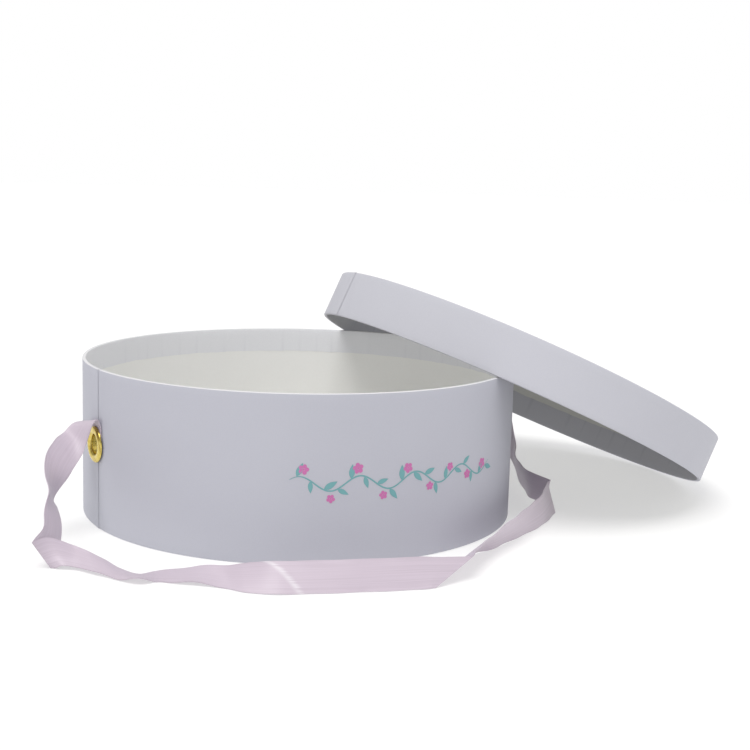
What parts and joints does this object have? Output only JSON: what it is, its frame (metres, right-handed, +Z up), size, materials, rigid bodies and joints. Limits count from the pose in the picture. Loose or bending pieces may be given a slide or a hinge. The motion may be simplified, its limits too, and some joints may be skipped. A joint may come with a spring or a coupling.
{
  "type": "hat box",
  "caption": "Round paper-covered board hat box with its lid leaning on the rim and a satin ribbon handle pinned by two gilt eyelets.",
  "frame": {"origin": "centre of the body's underside, on the surface that it stands on", "axes": "+Z up; +X through the two eyelets, from the left one to the right one, towards the side where the lid leans; -Y is the front, which carries the printed band"},
  "size_m": [0.5421, 0.3562, 0.1632],
  "materials": {
    "greyboard": "plain recycled greyboard, seen only at cut edges",
    "wrap_paper": "uncoated white paper with a faint lavender cast and a fine tooth",
    "lining_paper": "matt cream lining paper",
    "kraft_tape": "gummed kraft tape, hidden under the wrap",
    "gilt_brass": "polished gilt brass",
    "satin_ribbon": "pale pink satin ribbon with woven selvedges"
  },
  "bodies": {
    "box": {"body_wall_board": "greyboard", "body_base_board": "greyboard", "body_joint_tape": "kraft_tape", "body_wrap": "wrap_paper", "body_wall_liner": "lining_paper", "body_base_liner": "lining_paper", "body_base_cover": "wrap_paper", "left_eyelet": "gilt_brass", "left_washer": "gilt_brass", "right_eyelet": "gilt_brass", "right_washer": "gilt_brass"},
    "lid": {"lid_wall_board": "greyboard", "lid_top_board": "greyboard", "lid_joint_tape": "kraft_tape", "lid_side_wrap": "wrap_paper", "lid_top_paper": "wrap_paper", "lid_wall_liner": "lining_paper", "lid_top_liner": "lining_paper"},
    "handle": {"ribbon_handle": "satin_ribbon"}
  },
  "joints": [
    {"name": "lid_lift", "type": "slide", "parent": "box", "child": "lid", "axis": [0, 0, 1], "range_m": [0, 0.15]},
    {"name": "handle_swing", "type": "hinge", "parent": "box", "child": "handle", "pos_m": [0, 0, 0.056], "axis": [-1, 0, 0], "range_deg": [0, 28]}
  ]
}
